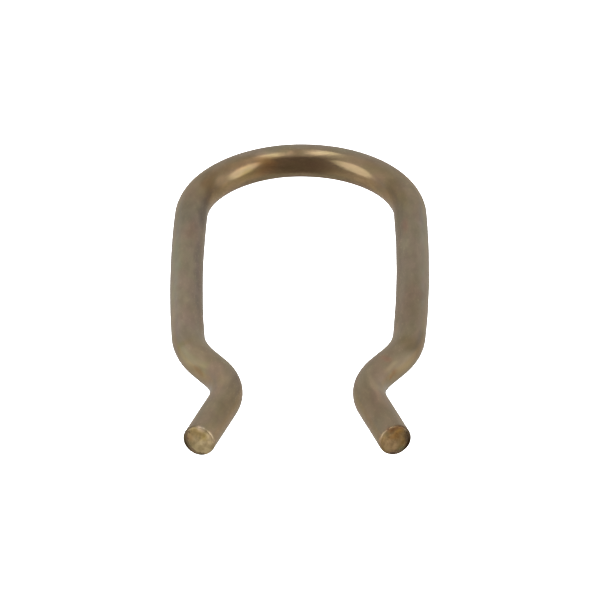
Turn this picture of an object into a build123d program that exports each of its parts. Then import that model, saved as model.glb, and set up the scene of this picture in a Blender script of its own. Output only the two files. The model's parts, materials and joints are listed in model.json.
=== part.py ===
"""Sprung wire fixing clip, bent from one length of round wire.

The clip lies flat, with the underside of its wire on z = 0. The origin is on the axis
of the round arch, which is also the axis of the pipe that the clip holds. The arch is
at +Y and the open mouth faces -Y. Each half has the same stretches, from the arch to
the mouth: a bowed leg, a knee that turns the wire in, a short straight waist, a nub
that turns it out again, and a straight tip. The two nubs are the throat that has to
spring open to pass the pipe. Sizes are in millimetres and angles in degrees.
"""

import os
from math import atan, degrees, radians, sin

from build123d import *

# The wire and its cut ends
wire_d = 2.0
end_rounding = 0.25  # radius on the rim of each cut end

# The arch, by the radius of the largest pipe that seats in it
arch_inner_r = 5.55

# Each leg, measured straight between its ends
leg_length = 13.8
leg_bow = 0.18  # how far mid-leg stands outside its two ends

# The knee, by the pin it is bent round, and the waist's slope towards the middle
knee_inner_r = 4.75
waist_lean = 33.5
waist_length = 1.25

# The nub, by the pin it is bent round, and the tip's slope away from the middle
nub_inner_r = 3.15
tip_flare = 18.7
tip_length = 4.3

# Bend radii on the wire's centreline
wire_r = wire_d / 2
arch_r = arch_inner_r + wire_r
knee_r = knee_inner_r + wire_r
nub_r = nub_inner_r + wire_r

# A bowed leg is a long arc, which leans out where it leaves the arch and in at the knee
leg_lean = 2 * degrees(atan(2 * leg_bow / leg_length))
leg_r = leg_length / (2 * sin(radians(leg_lean)))

# Each bend takes up the slope of the stretch before it and leaves that of the next
arch_turn = 180 - 2 * leg_lean
leg_turn = 2 * leg_lean
knee_turn = waist_lean - leg_lean
nub_turn = waist_lean + tip_flare

with BuildPart() as clip_wire:
    with BuildLine(Plane.XY.offset(wire_r)) as centreline:
        arch = CenterArc((0, 0), arch_r, leg_lean, arch_turn)
        # The +X half, walked towards the mouth, where a clockwise bend turns the wire in
        leg = JernArc(arch @ 0, -(arch % 0), leg_r, -leg_turn)
        knee = JernArc(leg @ 1, leg % 1, knee_r, -knee_turn)
        waist = PolarLine(knee @ 1, waist_length, direction=knee % 1)
        nub = JernArc(waist @ 1, waist % 1, nub_r, nub_turn)
        tip = PolarLine(nub @ 1, tip_length, direction=nub % 1)
        mirror([leg, knee, waist, nub, tip], about=Plane.YZ)
    with BuildSketch(Plane(origin=tip @ 1, z_dir=tip % 1)):
        Circle(wire_r)
    sweep()
    cut_ends = clip_wire.faces().filter_by(GeomType.PLANE)
    fillet(cut_ends.edges(), end_rounding)

clip_wire.part.label = "clip_wire"

os.makedirs("parts", exist_ok=True)
export_step(clip_wire.part, "parts/clip_wire.step")

# The sizes that follow from the bends. The nubs are nearest each other where the nub's
# arc runs parallel to the middle line
wire_length = centreline.wire().length
throat_gap = 2 * (nub.arc_center.X - nub_r - wire_r)
mouth_gap = 2 * ((tip @ 1).X - wire_r)
print(f"wire {wire_length:.1f} mm long, {clip_wire.part.volume:.1f} mm3")
print(f"throat {throat_gap:.2f} mm, mouth about {mouth_gap:.1f} mm")
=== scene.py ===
# %% [markdown]
# # A sprung wire fixing clip
#
# The clip is one length of round bronze wire, bent flat into an arch with two bowed legs,
# two knees that turn in to a narrow throat, and two straight tips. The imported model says
# where everything is and how big it is, so it is loaded first and its box is kept. All
# lengths below are in metres and all bends in degrees until they reach numpy.

# %% Load the frame
import json
from math import atan, pi

import bpy
import numpy as np
from mathutils import Matrix, Vector


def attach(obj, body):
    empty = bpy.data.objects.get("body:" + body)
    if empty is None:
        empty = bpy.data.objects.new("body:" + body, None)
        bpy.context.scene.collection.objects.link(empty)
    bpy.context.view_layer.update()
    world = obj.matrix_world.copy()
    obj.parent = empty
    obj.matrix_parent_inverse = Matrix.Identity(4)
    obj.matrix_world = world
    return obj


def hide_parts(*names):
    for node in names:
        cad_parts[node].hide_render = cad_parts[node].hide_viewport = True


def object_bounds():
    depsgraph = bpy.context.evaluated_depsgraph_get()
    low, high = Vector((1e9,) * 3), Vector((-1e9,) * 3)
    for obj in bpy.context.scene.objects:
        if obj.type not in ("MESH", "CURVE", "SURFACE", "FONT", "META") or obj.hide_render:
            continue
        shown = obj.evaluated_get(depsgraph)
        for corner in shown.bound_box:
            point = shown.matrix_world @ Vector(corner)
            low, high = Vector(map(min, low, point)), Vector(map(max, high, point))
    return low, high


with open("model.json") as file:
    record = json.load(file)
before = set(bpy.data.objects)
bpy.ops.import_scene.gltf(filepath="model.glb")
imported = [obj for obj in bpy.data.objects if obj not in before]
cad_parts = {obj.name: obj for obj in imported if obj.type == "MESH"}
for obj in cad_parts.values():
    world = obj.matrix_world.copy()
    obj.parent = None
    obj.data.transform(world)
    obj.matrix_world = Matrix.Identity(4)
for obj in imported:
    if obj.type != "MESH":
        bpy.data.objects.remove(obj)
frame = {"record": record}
cad_low, cad_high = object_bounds()
mm = 0.001
print("CAD box in mm:", [round(side / mm, 2) for side in cad_high - cad_low])

# %% [markdown]
# ## The wire's centreline
#
# A wire-forming machine knows a bent wire as a list of stretches, each with a length to
# feed and an angle to turn while it feeds. A stretch that turns is an arc and one that
# doesn't is straight. The same list makes the shape here, because it can be worked out
# for any distance along the wire at once, with no curve object and no sampling. The
# arch, the wire and the legs take their sizes from the record's mounts.

# %% Sizes of the bends
mounts = {mount["name"]: mount["dims"] for mount in frame["record"]["mounts"]}
wire_r = mounts["right_leg"]["r_mm"] * mm
leg_length = mounts["right_leg"]["length_mm"] * mm
arch_r = mounts["arch_seat"]["r_mm"] * mm + wire_r

leg_bow = 0.18 * mm
knee_r = 4.75 * mm + wire_r
waist_lean = 33.5
waist_length = 1.25 * mm
nub_r = 3.15 * mm + wire_r
tip_flare = 18.7
tip_length = 4.3 * mm
rim_r = 0.25 * mm

leg_lean = np.degrees(2 * atan(2 * leg_bow / leg_length))
leg_r = leg_length / 2 / np.sin(np.radians(leg_lean))
print(f"wire radius {wire_r / mm:.2f} mm, legs lean {leg_lean:.2f} degrees at each end")


# %% The list of stretches
def bend(radius, turn):
    """(length, turn) of an arc: its length is its radius times its turn in radians."""
    return radius * abs(np.radians(turn)), turn


half = [
    bend(arch_r, -(90 - leg_lean)),
    bend(leg_r, -2 * leg_lean),
    bend(knee_r, -(waist_lean - leg_lean)),
    (waist_length, 0),
    bend(nub_r, waist_lean + tip_flare),
    (tip_length, 0),
]
stretches = np.array(half[::-1] + half)
lengths, turns = stretches[:, 0], np.radians(stretches[:, 1])
starts = np.concatenate([[0], np.cumsum(lengths)])
wire_length = starts[-1]
print(f"{len(stretches)} stretches, {wire_length / mm:.1f} mm of wire")


# %% [markdown]
# The heading grows evenly along each stretch, so a point inside one lies on the chord of
# the turn made so far: the chord's heading is the middle of the two headings, and its
# length is the distance fed times sin(x)/x of half the turn. Numpy's sinc gives that
# with no special case for a straight. Only the dozen corners between stretches are
# worked out one after another.

# %% Points and headings at any distance
def step_from(point, heading, distance, turn):
    """The point reached from another by walking with a heading that turns evenly.

    The step is a chord of length distance * sin(turn / 2) / (turn / 2), at heading + turn / 2.
    """
    chord = distance * np.sinc(turn / 2 / pi)
    way = heading + turn / 2
    return point + np.stack([chord * np.cos(way), chord * np.sin(way)], axis=-1)


headings = np.concatenate([[0], np.cumsum(turns)])
headings -= headings[len(half)]
corners = np.zeros((len(starts), 2))
for i, (length, turn) in enumerate(zip(lengths, turns)):
    corners[i + 1] = step_from(corners[i], headings[i], length, turn)
corners += np.array([0, arch_r]) - corners[len(half)]


def stretch_at(distance):
    """The number of the stretch that holds each distance along the wire."""
    return np.clip(np.searchsorted(starts, distance, side="right") - 1, 0, len(lengths) - 1)


def centreline(distance):
    """Points (x, y) and headings at distances along the wire, from the -X tip to the +X tip."""
    i = stretch_at(distance)
    fed = distance - starts[i]
    turned = turns[i] * fed / lengths[i]
    return step_from(corners[i], headings[i], fed, turned), headings[i] + turned


landmarks, _ = centreline(np.array([0, wire_length / 2, wire_length]))
print("tip, apex and tip in mm:", np.round(landmarks / mm, 2).tolist())

# %% [markdown]
# ## The wire's skin
#
# A tube's surface is a ring carried along the centreline: a point of it is the centre,
# plus the ring's radius times a direction that turns once round. The wire is closed by
# letting the ring shrink at each cut end, first round the rim's quarter circle and then
# across the flat face to its middle. So one grid of rows and columns makes the whole
# skin, and two points close it. Rows stand closer on the rims, where the form turns
# fastest.

# %% Rows from pole to pole
around = 96
face_rows, rim_rows, skin_rows = 22, 9, 800

face_r = wire_r - rim_r
rim_angle = np.linspace(0, pi / 2, rim_rows)
face_ring = np.linspace(face_r / face_rows, face_r, face_rows, endpoint=False)
end_ring = np.concatenate([face_ring, face_r + rim_r * np.sin(rim_angle)])
end_along = np.concatenate([0 * face_ring, rim_r * (1 - np.cos(rim_angle))])
skin_along = np.linspace(rim_r, wire_length - rim_r, skin_rows + 2)[1:-1]

along = np.concatenate([end_along, skin_along, wire_length - end_along[::-1]])
ring = np.concatenate([end_ring, 0 * skin_along + wire_r, end_ring[::-1]])
angle = np.arange(around) * 2 * pi / around
rows = len(along)
print(f"{rows} rows of {around} points")

# %% [markdown]
# ## Patterns on the straight wire
#
# Everything that the wire's finish shows was there before it was bent, or was left by
# the bending pins, so the patterns are laid on the straight wire: x runs along it, y
# across it to the outside of the clip, and z up. Each point of the skin keeps that place
# as an attribute. A pattern that reads it follows every bend and has no seam. The same
# place drives the small dents and waves that are modelled in the mesh.

# %% The straight wire's coordinates
across, up = ring[:, None] * np.cos(angle), ring[:, None] * np.sin(angle)
straight = np.stack([np.broadcast_to(along[:, None], across.shape), across, up], axis=-1)
outward, upward = across / wire_r, up / wire_r
print("straight wire in mm:", np.round(np.ptp(straight.reshape(-1, 3), axis=0) / mm, 2).tolist())

# %% [markdown]
# Two helpers shape every pattern. Real surfaces wander without repeating, and a sum of
# sine waves in random directions does that at a chosen grain. A smooth step turns such a
# wandering value, or a distance, into a patch with a soft edge.

# %% Waves and smooth steps
dice = np.random.default_rng(7)


def waves(wavelength, count=28):
    """Smooth noise near -1 to 1: the mean of many sine waves of one length in random directions.

    wavelength gives the length along x, y and z, so that a pattern can be drawn out along the wire.
    """
    direction = dice.normal(size=(count, 3))
    direction /= np.linalg.norm(direction, axis=1)[:, None]
    phase = dice.uniform(0, 2 * pi, count)
    turns_per_metre = direction / np.array(wavelength)
    return np.sqrt(2 / count) * np.cos(2 * pi * straight @ turns_per_metre.T + phase).sum(axis=-1)


def smooth(value, low, high):
    """0 below low, 1 above high, and the smooth cubic 3t^2 - 2t^3 between."""
    t = np.clip((value - low) / (high - low), 0, 1)
    return t * t * (3 - 2 * t)


# %% [markdown]
# ## Dents and waves
#
# A real bent wire isn't a perfect tube. It flattens a little on the outside of each
# bend, where it was stretched, it carries a press mark where a bending pin held it, and
# drawing leaves it faintly wavy. Each of these is a depth below the true surface, so
# the wire never grows past the model's box, whose facets already lie a few thousandths
# of a millimetre inside the true round. The bend's curvature is blurred over a few rows,
# because metal doesn't change from straight to bent at a line.

# %% How far the skin lies below the true tube
facet_gap = 0.003 * mm
flattening, pin_mark, wave_depth = 0.06 * wire_r, 0.02 * wire_r, 0.004 * mm

points, heading = centreline(along)
blur_rows = 41
blur = np.hanning(blur_rows) / np.hanning(blur_rows).sum()
curvature = (turns / lengths)[stretch_at(along)]
curvature = np.convolve(np.pad(curvature, blur_rows // 2, mode="edge"), blur, mode="valid")

stretched_side = np.cos(angle) * -curvature[:, None] * wire_r
on_skin = smooth(ring, 0.9 * wire_r, wire_r)[:, None]
depth = flattening * np.clip(stretched_side, 0, None) ** 1.5
depth += pin_mark * np.clip(-stretched_side * 4, 0, 1) ** 6
depth += wave_depth * np.clip(1 + waves((3.1 * mm, 0.9 * mm, 0.9 * mm)), 0, None)
depth = facet_gap + on_skin * depth
print("deepest dent in mm:", round(depth.max() / mm, 4))

# %% [markdown]
# ## Sheared ends
#
# A blade cuts such wire in two steps. Its edge first rolls the metal over and leaves a
# smooth land, on the outer and lower side here, and then the rest breaks away as a
# rougher patch with a small pit. The face is one more pattern on the straight wire, and
# it sinks into the wire along it. The sink fades out round the rim.

# %% How far each cut face sinks
far_end = (along > wire_length / 2)[:, None]
on_face = 1 - smooth(ring, face_r, wire_r)[:, None]
off_rim = 1 - smooth(ring, 0.7 * face_r, face_r)[:, None]
to_land = 0.85 * outward - 0.5 * upward

rolled = smooth(to_land, 0.1, 1.0) ** 2
broken = 1 - smooth(outward - upward + 0.25 * waves((0.9 * mm,) * 3), -0.4, 0.1)
lumps = waves((0.5 * mm,) * 3) + 0.4 * waves((0.2 * mm,) * 3)
pit_height = np.where(far_end, 0.3, 0.42)
pit = 1 - smooth(np.hypot(outward + 0.1, upward - pit_height), 0.0, 0.4)
dome = np.clip(ring / face_r, 0, 1)[:, None] ** 2

dome_mm, land_mm, pit_mm, broken_mm = 0.03, 0.13, 0.05, 0.008
sink = dome_mm * dome + land_mm * rolled + pit_mm * pit + broken_mm * (0.3 + broken) * off_rim * (2 + lumps)
sink *= on_face * mm
print("deepest sink in mm:", round(sink.max() / mm, 4))

# %% [markdown]
# The cut metal is bare and the skin is tarnished, so the material has to know which is
# which. The bare part reaches the full width of the wire on the inner side, and stops
# short of the rim on the land, where the blade rolled the old skin over the edge.

# %% Where the metal is bare
skin_over_rim = smooth(to_land + 0.1 * lumps, -0.2, 0.6)
bare_r = wire_r * (1.03 - 0.33 * skin_over_rim)
sheared = 1 - smooth(ring[:, None], bare_r - 0.16 * wire_r, bare_r)
print(f"bare metal on {100 * np.mean(sheared > 0.5):.1f}% of the points")

# %% [markdown]
# ## Stains and painted light
#
# Tarnish and the bending pins leave soft stains: a small stain beside each knee, brown
# stains on the shoulders and duller tips. The outer side of each knee is brighter. Other
# marks are painted light: painted highlights on the left shoulder and round the highlights
# of the arch, painted shade on the inner side of the legs, nubs, shoulders and arch and on
# the top of the arch, and a painted reflection, cool grey, along the outer side of the legs,
# the left knee and the right shoulder and on the back of the arch. The rest is only a shade
# lighter or darker. A mark is an oval on the unrolled wire that multiplies the metal's
# colour. A mark has a name, so that it can be found and moved by hand.

# %% Marks along the wire
marks = [  # name, along mm, around degrees, length mm, width mm, slant in mm of width per mm, tint
    ("paler end of left tip", 0.6, 135, 1.6, 0.8, 0.0, (1.12, 1.10, 1.03)),
    ("dull left tip", 3.2, 136, 4.2, 1.05, 0.0, (0.84, 0.83, 0.74)),
    ("paler top of left tip", 4.0, 88, 7.0, 0.55, 0.0, (1.09, 1.07, 1.08)),
    ("outside of left nub", 5.2, 70, 2.4, 0.6, 0.0, (1.14, 1.10, 1.03)),
    ("left nub", 5.5, 116, 1.8, 0.8, 0.2, (0.85, 0.81, 0.82)),
    # painted shade on the nub's inner side
    ("inside of left nub", 6.3, 142, 3.6, 0.4, 0.0, (0.76, 0.74, 0.76)),
    ("outside of left neck", 7.8, 43, 3.4, 1.2, -0.3, (1.23, 1.19, 1.22)),
    ("olive left neck", 8.1, 44, 0.9, 1.2, 0.0, (0.97, 1.04, 0.94)),
    ("scratch by left knee", 8.3, 40, 1.4, 0.22, 0.0, (1.14, 1.10, 1.07)),
    ("stain by left knee", 8.35, 18, 0.7, 0.42, 0.0, (0.87, 0.78, 0.74)),
    # a brighter patch on the outer side of the knee
    ("rubbed left knee", 9.5, 34, 2.1, 1.05, 0.0, (1.20, 1.22, 1.24)),
    ("paler left knee", 9.6, 42, 2.8, 1.7, 0.0, (1.13, 1.15, 1.08)),
    # painted reflection, cool grey, on the knee's outer side
    ("cool outside of left knee", 10.3, 6, 2.6, 0.6, 0.0, (1.00, 1.06, 1.18)),
    ("left knee edge", 10.7, 46, 0.6, 1.4, 0.0, (0.93, 0.93, 0.80)),
    ("greyer above left knee", 12.3, 72, 4.0, 1.7, 0.0, (1.00, 1.00, 1.11)),
    ("left leg, browner", 15.0, 103, 2.2, 0.5, 0.0, (0.91, 0.91, 0.93)),
    ("left leg, brighter outside", 15.0, 58, 7.5, 1.6, 0.0, (1.16, 1.15, 1.16)),
    # painted shade on the leg's inner side, and a painted reflection, cool grey, on its outer side
    ("inside of left leg", 18.0, 146, 16.0, 1.0, 0.0, (0.71, 0.70, 0.75)),
    ("cool outside of left leg", 18.5, 36, 17.0, 0.8, 0.0, (1.01, 1.10, 1.20)),
    ("left leg, olive outside", 19.0, 45, 7.0, 0.9, 0.0, (1.00, 1.04, 1.01)),
    ("left leg, paler", 20.4, 60, 6.0, 0.9, 0.0, (1.08, 1.12, 1.07)),
    ("left leg, redder", 22.9, 105, 2.6, 1.0, 0.0, (0.98, 0.89, 0.88)),
    ("left leg, duller", 25.4, 90, 3.8, 1.8, 0.0, (0.86, 0.89, 0.93)),
    # painted shade on the inner side
    ("inside above left leg", 25.9, 149, 4.2, 0.85, 0.0, (0.64, 0.65, 0.68)),
    ("greyer left shoulder", 26.6, 42, 2.4, 0.7, 0.0, (1.11, 1.18, 1.28)),
    # painted shade on the shoulder's inner side
    ("inside of left shoulder", 27.3, 146, 3.2, 0.7, 0.0, (0.75, 0.74, 0.74)),
    ("left shoulder stain", 28.7, 120, 2.2, 1.2, -0.2, (0.80, 0.71, 0.63)),
    # painted shade on the arch's inner side, then a painted highlight on the shoulder
    ("inside of left arch", 29.2, 162, 1.6, 0.8, 0.0, (0.81, 0.78, 0.79)),
    ("painted highlight on left shoulder", 30.0, 144, 1.4, 0.5, 0.0, (1.22, 1.19, 1.16)),
    # painted shade on the top of the arch, then a painted highlight above its left highlight
    ("left arch, painted shade on top", 31.4, 110, 5.0, 0.7, 0.0, (0.92, 0.87, 0.84)),
    ("painted highlight above left arch highlight", 32.2, 128, 2.6, 0.5, 0.0, (1.20, 1.11, 1.05)),
    ("golden inside of left arch", 32.3, 166, 1.8, 0.5, 0.0, (0.94, 0.92, 0.76)),
    # painted highlights round the left highlights of the arch
    ("painted highlight, left top of arch", 33.6, 108, 1.3, 0.5, 0.0, (1.26, 1.26, 1.32)),
    ("golden painted highlight left of the apex", 33.6, 152, 1.4, 1.1, 0.0, (1.25, 1.10, 0.88)),
    ("pale painted highlight left of the apex", 34.1, 142, 1.7, 0.6, 0.0, (1.26, 1.24, 1.08)),
    ("paler inside left of the apex", 34.5, 184, 1.2, 0.5, 0.0, (1.20, 1.22, 1.20)),
    # a painted highlight, painted shade on the top between the two highlights, a painted reflection, cool
    # grey, along the back, and painted shade on the inner side
    ("bright fleck on arch", 35.2, 121, 0.36, 0.3, 0.0, (1.25, 1.20, 1.18)),
    ("painted shade on top of arch", 35.75, 118, 1.1, 0.6, 0.0, (0.85, 0.83, 0.78)),
    ("greyer back of arch", 36.15, 88, 14.0, 0.7, 0.0, (0.99, 1.10, 1.30)),
    ("inside of right arch", 39.7, 172, 1.8, 0.5, 0.0, (0.84, 0.83, 0.88)),
    ("right shoulder, paler", 42.3, 145, 1.2, 1.0, 0.0, (1.12, 1.06, 1.12)),
    # painted shade on the inner side
    ("inside of right arch, duller", 42.8, 162, 1.6, 0.7, 0.0, (0.83, 0.88, 0.95)),
    ("right shoulder stain", 43.9, 124, 1.8, 1.2, 0.0, (0.85, 0.82, 0.79)),
    # painted shade on the inner side
    ("inside of right shoulder", 44.9, 148, 3.0, 0.7, 0.0, (0.88, 0.87, 0.85)),
    ("greyer right shoulder", 45.0, 95, 3.6, 1.5, 0.0, (1.00, 1.06, 1.13)),
    ("right shoulder, low", 45.6, 118, 2.4, 0.8, -0.2, (0.90, 0.87, 0.77)),
    # painted shade on the inner side, and a painted reflection, cool grey, on the outer side
    ("inside below right shoulder", 47.0, 140, 4.6, 0.9, 0.0, (0.73, 0.76, 0.70)),
    ("cool outside of right shoulder", 47.6, 38, 6.0, 0.8, 0.0, (0.97, 1.07, 1.18)),
    ("right leg, redder", 48.9, 115, 1.8, 0.6, 0.0, (1.05, 0.90, 0.90)),
    ("right leg, paler", 51.0, 110, 2.0, 0.7, 0.0, (1.08, 1.12, 1.10)),
    ("right leg, greyer outside", 51.5, 55, 4.5, 0.9, 0.0, (1.06, 1.10, 1.09)),
    # painted shade on the leg's inner side, and a painted reflection, cool grey, on its outer side
    ("inside of right leg", 53.8, 149, 19.0, 0.5, 0.0, (0.80, 0.81, 0.84)),
    ("cool outside of right leg", 55.5, 36, 9.0, 0.6, 0.0, (0.99, 1.05, 1.13)),
    ("right leg, browner", 56.7, 84, 3.6, 1.3, 0.0, (0.93, 0.87, 0.84)),
    ("right leg, duller", 59.4, 90, 3.2, 1.4, 0.0, (0.88, 0.88, 0.88)),
    ("outside of right knee", 61.0, 34, 2.6, 0.5, 0.0, (0.81, 0.83, 0.87)),
    ("right knee edge", 61.8, 58, 1.4, 1.5, 0.0, (0.83, 0.82, 0.70)),
    # a brighter patch on the outer side of the knee
    ("brighter outside of right knee", 63.4, 31, 2.5, 1.0, 0.1, (1.27, 1.34, 1.31)),
    ("right neck, redder", 64.1, 76, 0.7, 0.6, 0.0, (1.10, 0.92, 0.92)),
    ("stain by right knee", 64.3, 20, 0.9, 0.45, 0.0, (0.84, 0.73, 0.67)),
    ("scratch by right knee", 64.4, 44, 1.6, 0.26, 0.0, (1.14, 1.12, 1.08)),
    ("red spot by right knee", 64.9, 18, 0.45, 0.35, 0.0, (1.04, 0.84, 0.72)),
    # painted shade on the nub's inner side
    ("inside of right nub", 66.0, 142, 3.6, 0.4, 0.0, (0.80, 0.79, 0.80)),
    ("outside of right neck", 66.2, 52, 6.0, 0.9, 0.21, (1.14, 1.12, 1.11)),
    ("right neck, paler", 66.3, 90, 2.6, 0.4, -0.22, (1.07, 1.06, 1.07)),
    ("outside of right tip", 68.7, 78, 3.0, 0.5, 0.0, (1.18, 1.15, 1.15)),
    ("dull right tip", 69.0, 110, 3.6, 1.6, 0.0, (0.92, 0.87, 0.87)),
    ("dull end of right tip", 71.2, 140, 1.6, 0.9, 0.0, (0.87, 0.94, 0.91)),
]
print(len(marks), "marks along the wire")

# %% Spots on the cut faces
spots = [  # end and name, outward and upward in wire radii, size across and up, tint
    ("left, golden top", 0.27, 0.70, 0.45, 0.35, (1.04, 0.97, 0.80)),
    ("left, brown pit", -0.20, 0.43, 0.30, 0.32, (0.84, 0.81, 0.70)),
    ("left, olive by the pit", -0.42, 0.40, 0.25, 0.25, (0.86, 0.84, 0.68)),
    ("left, pale middle", -0.25, 0.02, 0.55, 0.25, (1.10, 1.10, 1.14)),
    ("left, red streak", 0.47, 0.12, 0.25, 0.35, (0.94, 0.82, 0.72)),
    # painted highlights on the rim, then painted shade on the low part and on the outer and lower rim
    ("left, bright inner rim", -0.76, 0.48, 0.25, 0.45, (1.27, 1.27, 1.38)),
    ("left, bright fleck on top", -0.15, 0.94, 0.22, 0.15, (1.30, 1.30, 1.55)),
    ("left, painted shade on low part", 0.25, -0.40, 0.50, 0.45, (0.87, 0.87, 0.83)),
    ("left, painted shade on outer rim", 0.88, 0.05, 0.22, 0.90, (0.76, 0.80, 0.76)),
    ("left, painted shade on lower rim", 0.30, -0.88, 0.90, 0.20, (0.72, 0.72, 0.68)),
    ("right, orange pit", -0.05, 0.37, 0.40, 0.30, (0.88, 0.72, 0.52)),
    ("right, pale inner side", -0.50, 0.12, 0.40, 0.40, (1.08, 1.06, 1.10)),
    ("right, pale low streak", -0.18, -0.25, 0.30, 0.40, (1.08, 1.06, 1.10)),
    ("right, red outer side", 0.48, -0.15, 0.30, 0.40, (0.90, 0.82, 0.62)),
    ("right, green fleck", 0.35, -0.62, 0.25, 0.20, (0.85, 1.00, 0.85)),
    ("right, golden top", 0.27, 0.58, 0.22, 0.20, (1.15, 1.05, 0.75)),
    # painted shade on the outer rim
    ("right, painted shade on outer rim", 0.88, 0.00, 0.34, 1.00, (0.52, 0.48, 0.50)),
    ("right, brown upper rim", 0.15, 0.88, 0.70, 0.18, (0.72, 0.54, 0.44)),
    # painted shade on the lower rim, then painted highlights on the inner rim and on the top
    ("right, painted shade on lower rim", -0.05, -0.82, 0.90, 0.34, (0.72, 0.69, 0.76)),
    ("right, painted highlight on inner rim", -0.90, 0.30, 0.20, 0.25, (1.30, 1.26, 1.20)),
    ("right, painted highlight on top", -0.45, 0.86, 0.30, 0.16, (1.25, 1.18, 1.12)),
]
print(len(spots), "spots on the two faces")

# %% [markdown]
# Each mark is strong in its middle and falls away as exp(-r^3), where r grows from 0 to 1
# at the oval's edge. Waves push its place about, so no edge is a clean oval. The faces
# also get painted shade: they darken evenly towards the outer side, where the rolled land
# turns away.

# %% Paint the tints
drift = waves((1.6 * mm, 0.8 * mm, 0.8 * mm)), waves((1.3 * mm, 0.7 * mm, 0.7 * mm))
near_end = 1 - smooth(np.minimum(along, wire_length - along)[:, None], 0.15 * mm, 0.35 * mm)


def oval(run, cross, shade, where=1.0):
    """A mark's tint at every point: 1 + strength * (shade - 1), with strength = where * exp(-r^3)."""
    strength = where * np.exp(-(np.hypot(run, cross) ** 3))
    return 1 + strength[..., None] * (np.array(shade) - 1)


drift_along, drift_across = 0.1, 0.05
outer_painted_shade = 0.38
tint = np.ones((rows, around, 3))
for _, at, turned_to, length, width, slant, shade in marks:
    run = along[:, None] / mm - at + drift_along * drift[0]
    gap = (angle - np.radians(turned_to) + pi) % (2 * pi) - pi
    cross = gap * wire_r / mm + drift_across * drift[1] - slant * run
    tint *= oval(2 * run / length, 2 * cross / width, shade)

for name, out_at, up_at, wide, tall, shade in spots:
    run = (outward - out_at + drift_across * drift[0]) / wide
    cross = (upward - up_at + drift_across * drift[1]) / tall
    tint *= oval(run, cross, shade, near_end * (far_end == name.startswith("right")))

# painted shade on the cut faces, darker towards the outer side
painted_shade_outward = near_end * np.clip(outward, 0, 1)
tint *= 1 - outer_painted_shade * painted_shade_outward[..., None]
print("tints from", round(tint.min(), 2), "to", round(tint.max(), 2))

# %% [markdown]
# ## The mesh
#
# The rings are set on the centreline: the heading gives the direction across the wire,
# and up is always up, because the clip is flat. Each ring is wound so that its faces
# look outwards, and the two poles close it.

# %% Points and faces
forward = np.stack([np.cos(heading), np.sin(heading)], axis=-1)[:, None, :]
leftward = np.stack([-np.sin(heading), np.cos(heading)], axis=-1)[:, None, :]
into_wire = np.where(far_end, -1, 1) * sink
reach = ring[:, None] - depth

flat = points[:, None, :] + into_wire[..., None] * forward
flat += (reach * np.cos(angle))[..., None] * leftward
above_floor = wire_r + reach * np.sin(angle)
grid = np.concatenate([flat, above_floor[..., None]], axis=-1)
poles = [np.append(flat[row].mean(axis=0), wire_r) for row in (0, -1)]
verts = np.vstack([grid.reshape(-1, 3), poles])

corner = np.arange(rows * around).reshape(rows, around)
neighbour = np.roll(corner, -1, axis=1)
quads = np.stack([corner[:-1], corner[1:], neighbour[1:], neighbour[:-1]], axis=-1).reshape(-1, 4)
first_pole, last_pole = rows * around, rows * around + 1
first_fan = np.stack([np.full(around, first_pole), corner[0], neighbour[0]], axis=-1)
last_fan = np.stack([np.full(around, last_pole), neighbour[-1], corner[-1]], axis=-1)
print(f"{len(verts)} points, {2 * len(quads) + 2 * around} triangles")

# %% [markdown]
# The patterns go into the mesh as attributes, one value for each point. The wire then
# rides on the frame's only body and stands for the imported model's wire. It is hidden
# from its own reflections and lets light through to the floor, because the tent round
# it is so even that the real one shows neither a mirrored neighbour nor a shadow.

# %% Build the wire
mesh = bpy.data.meshes.new("wire")
mesh.from_pydata(verts.tolist(), [], quads.tolist() + first_fan.tolist() + last_fan.tolist())
mesh.shade_smooth()


def keep(name, values, kind="FLOAT"):
    """Gives every point of the wire a value: one for each grid point, then one for each pole."""
    grid_values = values.reshape(rows * around, -1)
    pole_values = [values[row].reshape(around, -1).mean(axis=0) for row in (0, -1)]
    layer = mesh.attributes.new(name, kind, "POINT")
    field = "vector" if kind == "FLOAT_VECTOR" else "value"
    layer.data.foreach_set(field, np.vstack([grid_values, pole_values]).ravel().astype(np.float32))


keep("straight", straight / mm, "FLOAT_VECTOR")
keep("sheared", sheared)
# tint holds the stains and the painted highlights, shade and reflection of the marks and spots
keep("tint", tint, "FLOAT_VECTOR")

wire = bpy.data.objects.new("wire", mesh)
bpy.context.scene.collection.objects.link(wire)
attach(wire, "root")
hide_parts("clip_wire")
wire.visible_glossy = wire.visible_diffuse = wire.visible_shadow = False
print("attributes:", [layer.name for layer in mesh.attributes])

# %% [markdown]
# ## Writing shader maths
#
# A material's pattern is arithmetic, so it is written as arithmetic. A Value holds a
# socket, and each operator adds the Math node that it stands for. Every other node comes
# from one method, which takes the node's kind, its settings and what goes into it.

# %% Values and graphs
class Value:
    """A socket that can be written in sums."""

    def __init__(self, graph, socket):
        self.graph, self.socket = graph, socket

    def math(self, operation, *terms):
        return self.graph.node("Math", dict(enumerate(terms)), operation=operation)

    def __add__(self, other):
        return self.math("ADD", self, other)

    def __sub__(self, other):
        return self.math("SUBTRACT", self, other)

    def __rsub__(self, other):
        return self.math("SUBTRACT", other, self)

    def __mul__(self, other):
        return self.math("MULTIPLY", self, other)

    def __abs__(self):
        return self.math("ABSOLUTE", self)

    __radd__, __rmul__ = __add__, __mul__


def rgba(colour):
    """A colour as a Mix node wants it: a link stays a link, and three numbers get an alpha of 1."""
    return colour if isinstance(colour, Value) else (*colour, 1)


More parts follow.
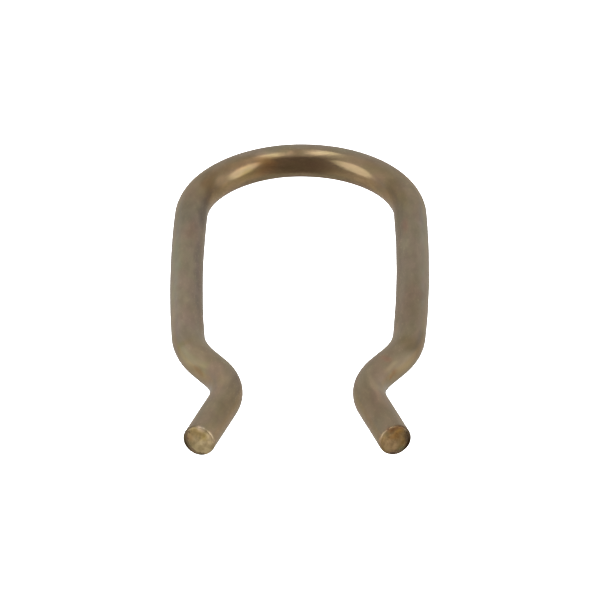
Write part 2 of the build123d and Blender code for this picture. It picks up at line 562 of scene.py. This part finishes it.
class Graph:
    """The nodes of one material or world, emptied to begin with."""

    def __init__(self, owner):
        owner.use_nodes = True
        self.tree = owner.node_tree
        self.tree.nodes.clear()

    def node(self, kind, inputs, output=0, **settings):
        """Adds a node and returns one of its outputs. Inputs are values or links, by name or place."""
        made = self.tree.nodes.new("ShaderNode" + kind)
        for name, setting in settings.items():
            setattr(made, name, setting)
        for name, value in inputs.items():
            if isinstance(value, Value):
                self.tree.links.new(value.socket, made.inputs[name])
            else:
                made.inputs[name].default_value = value
        return Value(self, made.outputs[output]) if made.outputs else None

    def attribute(self, name, output):
        """One of the values that the mesh keeps for each point."""
        return self.node("Attribute", {}, output=output, attribute_name=name)

    def blend(self, factor, under, over, how="MIX"):
        """Colours mixed by a factor: under where it is 0, over where it is 1."""
        inputs = {0: factor, 6: rgba(under), 7: rgba(over)}
        return self.node("Mix", inputs, output=2, data_type="RGBA", blend_type=how)

    def times(self, colour, tint):
        """Two colours multiplied, channel by channel."""
        return self.blend(1.0, colour, tint, "MULTIPLY")

    def step(self, value, low, high):
        """0 below low and 1 above high, with a smooth rise between."""
        inputs = {"Value": value, "From Min": low, "From Max": high}
        return self.node("MapRange", inputs, interpolation_type="SMOOTHSTEP")


# %% [markdown]
# ## The bronze
#
# The wire is dull drawn bronze. Its skin has three tones: clean and golden on the arch,
# greyer on the legs, which bear a thin bloom of oxide, and in between on the knees and
# tips, where fingers hold it. Its colour wanders between olive and a pinkish brown, and
# clouds of a lighter and darker shade run along it. All of it is read from the straight
# wire's coordinates, with grains longer along the wire than across, as drawing leaves
# them.

# %% Patterns on the bronze
bronze = bpy.data.materials.new("bronze")
g = Graph(bronze)
place = g.attribute("straight", "Vector")
bare = g.attribute("sheared", "Fac")
marked = g.attribute("tint", "Color")


def speckle(size_along, size_across, detail=2.0, rough=0.5):
    """Noise from 0 to 1 on the straight wire, with its grain's size along and across in mm."""
    grains_per_mm = (1 / size_along, 1 / size_across, 1 / size_across)
    spot = g.node("VectorMath", {0: place, 1: grains_per_mm}, operation="MULTIPLY")
    inputs = {"Vector": spot, "Scale": 1.0, "Detail": detail, "Roughness": rough}
    return g.node("TexNoise", inputs, output="Fac")


fine_patches = g.step(speckle(2.2, 0.8, 3.0), 0.35, 0.7)
die_lines = speckle(14.0, 0.07, 2.0, 0.6)
grain = speckle(0.16, 0.05, 2.0, 0.6)

along_wire = g.node("SeparateXYZ", {0: place}, output="X")
half_length = float(wire_length / mm / 2)
from_apex = abs(along_wire - half_length)
beyond_legs = g.step(from_apex, 20.0, 24.0)
bloom = g.step(from_apex, 8.5, 12.5) * (1 - g.step(from_apex, 21.0, 24.0))
print("patterns:", len(g.tree.nodes), "nodes")

# %% Colour of the skin
clean, dulled, handled = (0.62, 0.435, 0.238), (0.585, 0.45, 0.29), (0.61, 0.458, 0.278)
olive, pinkish = (0.99, 1.02, 0.95), (1.025, 0.985, 0.99)
darker, lighter = (0.92, 0.92, 0.92), (1.06, 1.06, 1.06)

skin_colour = g.blend(beyond_legs, g.blend(bloom, clean, dulled), handled)
# the marks bring stains and painted highlights, shade and reflection into the skin
skin_colour = g.times(skin_colour, marked)
skin_colour = g.times(skin_colour, g.blend(g.step(speckle(2.0, 0.9), 0.35, 0.65), olive, pinkish))
skin_colour = g.times(skin_colour, g.blend(g.step(speckle(1.2, 0.45, 3.0), 0.3, 0.7), darker, lighter))
print("skin:", len(g.tree.nodes), "nodes")

# %% [markdown]
# The cut faces are bare metal: golden on the left end, and browner on the right one, as
# if that one had tarnished for longer. Small flecks cover both. Bare metal
# is rougher than the skin, and a little of its light is scattered instead of mirrored,
# which the Metallic value lowers. The skin is smooth enough to mirror the lamps, and is
# softer under the bloom.

# %% The wire's material
golden, browner = (0.595, 0.47, 0.26), (0.43, 0.298, 0.143)
dark_fleck, pale_fleck = (0.84, 0.81, 0.76), (1.12, 1.12, 1.10)
raw = g.blend(g.step(along_wire, 40.0, 41.0), golden, browner)
flecks = g.blend(g.step(speckle(0.4, 0.4, 2.0, 0.55), 0.35, 0.65), dark_fleck, pale_fleck)
# the spots bring their tones and their painted highlights and shade into the faces
face_colour = g.times(g.times(raw, marked), flecks)

smoothest, bare_rougher, bare_duller = 0.145, 0.35, 0.1
bump_strength, bump_height = 0.35, 0.02 * mm
roughness = smoothest + die_lines * 0.03 + fine_patches * 0.02 + bloom * 0.045 + bare * bare_rougher
relief = die_lines * (1 - bare) * 0.6 + grain * 0.2 + grain * bare * 0.9
bumps = g.node("Bump", {"Height": relief, "Strength": bump_strength, "Distance": bump_height})
shader = g.node(
    "BsdfPrincipled",
    {
        "Base Color": g.blend(bare, skin_colour, face_colour),
        "Metallic": 1 - bare * bare_duller,
        "Roughness": roughness,
        "Normal": bumps,
    },
)
g.node("OutputMaterial", {"Surface": shader})
mesh.materials.append(bronze)
print("bronze:", len(g.tree.nodes), "nodes")

# %% [markdown]
# ## Light
#
# The clip is small and shiny, so what it mirrors matters more than what lights it. Two
# soft boxes stand low at its sides, a little to the front, and two narrow ones hang
# overhead. They are oval, because an oval box leaves a bright spot with rounded ends on
# a bent wire. Each box's size is given as the angle that it fills as the clip sees it,
# and its power as brightness, which an area light's watts become when they are divided
# by its area and pi.

# %% Directions and soft boxes
def towards(azimuth, elevation):
    """The direction of a light. Azimuth 0 is +Y, 90 is +X, and elevation is above the floor."""
    around_z, above = np.radians(azimuth), np.radians(elevation)
    return Vector((np.sin(around_z) * np.cos(above), np.cos(around_z) * np.cos(above), np.sin(above)))


clip_centre = (cad_low + cad_high) / 2
box_distance = 0.6
cool_white = (0.96, 1.03, 1.07)


def soft_box(name, away, upright, width, tall, brightness):
    """An oval area light that faces the clip. Its sizes are angles in degrees as the clip sees it."""
    data = bpy.data.lights.new(name, "AREA")
    data.shape = "ELLIPSE"
    data.size = 2 * box_distance * np.tan(np.radians(width / 2))
    data.size_y = 2 * box_distance * np.tan(np.radians(tall / 2))
    data.energy = brightness * pi * (pi / 4 * data.size * data.size_y)
    data.color = cool_white
    light = bpy.data.objects.new(name, data)
    side = upright.cross(away).normalized()
    axes = Matrix([side, away.cross(side), away]).transposed().to_4x4()
    light.matrix_world = Matrix.Translation(clip_centre + away * box_distance) @ axes
    light.visible_camera = False
    bpy.context.scene.collection.objects.link(light)
    print(f"{name}: {data.size:.2f} by {data.size_y:.2f} m, {data.energy:.2f} W")


soft_box("left_box", towards(-113, 24), Vector((0, -0.40, 1)), 40, 56, 0.60)
soft_box("right_box", towards(107, 24), Vector((0, -0.05, 1)), 33, 54, 0.61)
soft_box("left_overhead", Vector((-0.172, 0.08, 1)).normalized(), Vector((0, 1, 0)), 9, 37, 1.12)
soft_box("right_overhead", Vector((0.234, 0.02, 1)).normalized(), Vector((-0.12, 1, 0)), 7, 36, 0.88)

# %% [markdown]
# The rest of what it mirrors is a grey tent, drawn as the world's colour. The tent is
# open at the front, and the dark room beyond gives the arch its dark band. The floor's
# paper closes it below. A world can answer each kind of ray differently: the camera sees
# clean white, a mirrored ray sees the tent, and a scattered ray gets the bright even
# light that keeps the floor white.

# %% The tent
world = bpy.data.worlds.new("tent")
bpy.context.scene.world = world
w = Graph(world)
room, wall = (0.108, 0.092, 0.090), (0.355, 0.365, 0.40)
far_paper, near_paper = (0.385, 0.37, 0.355), (0.235, 0.24, 0.262)
even_light, clean_white = (4.0, 4.0, 4.0), (1.0, 1.0, 1.0)

way = w.node("TexCoord", {}, output="Generated")
rise = w.node("SeparateXYZ", {0: way}, output="Z")
level = w.node("VectorMath", {0: way, 1: (1, 1, 0)}, operation="MULTIPLY")
compass = w.node("VectorMath", {0: level}, operation="NORMALIZE")
facing = w.node("VectorMath", {0: compass, 1: towards(176, 0)}, output="Value", operation="DOT_PRODUCT")

between_roof_and_floor = (1 - w.step(rise, 0.78, 0.97)) * (1 - w.step(rise * -1.0, 0.8, 1.0))
open_front = w.step(facing + rise * 0.1, 0.35, 0.92) * between_roof_and_floor
paper_below = w.blend(w.step(rise, -0.98, -0.6), near_paper, far_paper)
inside_tent = w.blend(w.step(rise, -0.12, 0.08), paper_below, wall)
mirrored = w.blend(open_front, inside_tent, room)

seen = w.node("LightPath", {}, output="Is Camera Ray")
scattered = w.node("LightPath", {}, output="Is Diffuse Ray")
colour = w.blend(seen, w.blend(scattered, mirrored, even_light), clean_white)
w.node("OutputWorld", {"Surface": w.node("Background", {"Color": colour})})
print("tent:", len(w.tree.nodes), "nodes")

# %% [markdown]
# ## Floor and camera
#
# The floor is matt, almost white paper. It is left out of reflections, because the tent
# already draws the paper below, and it is part of the stage, not of the clip. The camera
# looks down at the clip from far away through a long lens, so its near and far ends are
# drawn at nearly the same scale, and it aims at the middle of the model's box.

# %% The floor
paper = bpy.data.materials.new("paper")
sheet = Graph(paper)
almost_white = (0.92, 0.92, 0.92, 1)
sheet.node("OutputMaterial", {"Surface": sheet.node("BsdfDiffuse", {"Color": almost_white})})

half_side = 3.0
corner_signs = [(-1, -1), (1, -1), (1, 1), (-1, 1)]
square = [(half_side * x, half_side * y, 0) for x, y in corner_signs]
floor_mesh = bpy.data.meshes.new("floor")
floor_mesh.from_pydata(square, [], [(0, 1, 2, 3)])
floor_mesh.materials.append(paper)
floor = bpy.data.objects.new("floor", floor_mesh)
floor.visible_glossy = floor.visible_shadow = False
bpy.context.scene.collection.objects.link(floor)
print("floor:", 2 * half_side, "m square")

# %% The camera
view_azimuth, view_elevation, view_roll = 0.8, 31.87, 0.59
view_distance = 1.2
view_width = 35.6 * mm
aim = clip_centre + Vector((0.04, -0.42, 0)) * mm

back = towards(180 - view_azimuth, view_elevation)
level_turn = back.to_track_quat("Z", "Y").to_matrix().to_4x4()
roll_turn = Matrix.Rotation(-np.radians(view_roll), 4, "Z")
camera_data = bpy.data.cameras.new("camera")
camera_data.lens = camera_data.sensor_width * view_distance / view_width
camera_data.clip_start, camera_data.clip_end = 0.1, 10
camera = bpy.data.objects.new("camera", camera_data)
camera.matrix_world = Matrix.Translation(aim + back * view_distance) @ level_turn @ roll_turn
bpy.context.scene.collection.objects.link(camera)
bpy.context.scene.camera = camera
bpy.context.scene.view_settings.view_transform = "Standard"
print(f"camera: {camera_data.lens:.0f} mm lens, {view_distance} m away")
